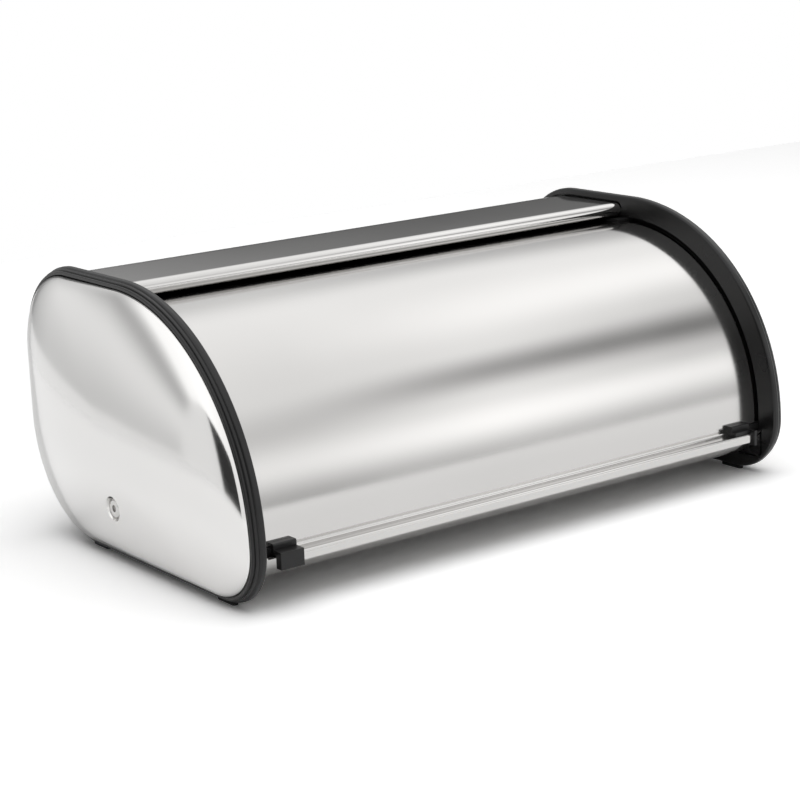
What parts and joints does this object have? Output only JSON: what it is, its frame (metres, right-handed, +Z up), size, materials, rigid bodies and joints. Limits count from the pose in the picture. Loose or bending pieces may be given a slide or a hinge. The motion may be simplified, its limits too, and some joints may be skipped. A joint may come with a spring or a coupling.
{
  "type": "bread box with roll top",
  "caption": "Polished steel bread box with black moulded end frames, domed steel ends and a curved lid that rolls up and back in the frames' tracks.",
  "frame": {"origin": "middle of the footprint, on the surface that the feet stand on", "axes": "+X along the length to the right end, +Y from the lid's side to the back, +Z up"},
  "size_m": [0.3886, 0.224, 0.153],
  "materials": {
    "body_steel": "polished",
    "lid_steel": "polished",
    "dome_steel": "polished",
    "screw_steel": "polished",
    "frame_plastic": "satin black",
    "clip_plastic": "satin black",
    "foot_rubber": "matt black"
  },
  "bodies": {
    "box": {"body_shell": "body_steel", "left_end_frame": "frame_plastic", "left_end_dome": "dome_steel", "left_dome_screw": "screw_steel", "left_front_foot": "foot_rubber", "left_rear_foot": "foot_rubber", "right_end_frame": "frame_plastic", "right_end_dome": "dome_steel", "right_dome_screw": "screw_steel", "right_front_foot": "foot_rubber", "right_rear_foot": "foot_rubber", "left_pivot_nut": "screw_steel", "right_pivot_nut": "screw_steel"},
    "lid": {"roll_lid": "lid_steel", "left_lid_clip": "clip_plastic", "right_lid_clip": "clip_plastic", "left_upper_guide": "clip_plastic", "right_upper_guide": "clip_plastic", "left_lid_arm": "lid_steel", "right_lid_arm": "lid_steel"}
  },
  "joints": [
    {"name": "lid_roll", "type": "hinge", "parent": "box", "child": "lid", "pos_m": [0, 0.0075, 0.0335], "axis": [-1, 0, 0], "range_deg": [0, 62]}
  ]
}
